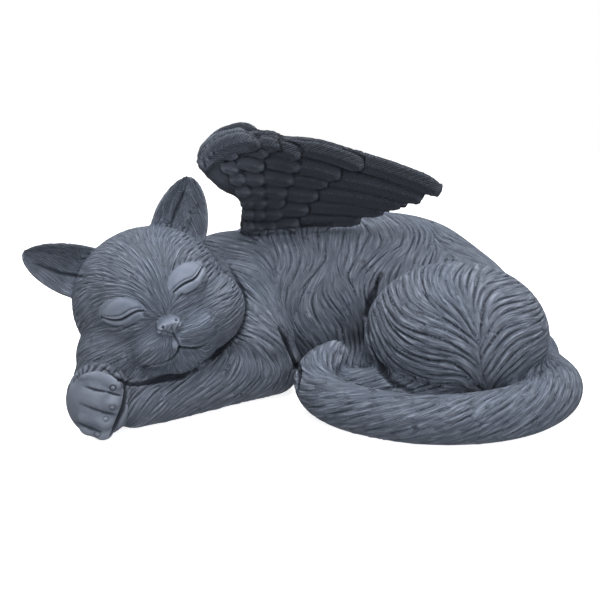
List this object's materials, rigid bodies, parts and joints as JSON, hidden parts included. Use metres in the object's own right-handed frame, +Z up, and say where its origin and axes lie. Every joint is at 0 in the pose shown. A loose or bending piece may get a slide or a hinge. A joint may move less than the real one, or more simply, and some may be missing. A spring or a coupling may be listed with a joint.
{
  "type": "angel cat figurine",
  "caption": "Cast stone figurine of a curled-up sleeping cat resting its cheek on its forepaw, with a pair of raised feathered angel wings, for a garden or shelf.",
  "frame": {"origin": "centre of the figure's outline at its flat underside", "axes": "+Z up; +X along the body from the head to the rump; +Y from the carved front, where the face looks out, to the back"},
  "size_m": [0.3346, 0.2124, 0.171],
  "materials": {
    "cast_stone": "matte dark slate grey cast stone, with darker grooves and paler worn ridges"
  },
  "bodies": {
    "root": {"angel_cat": "cast_stone"}
  },
  "joints": []
}
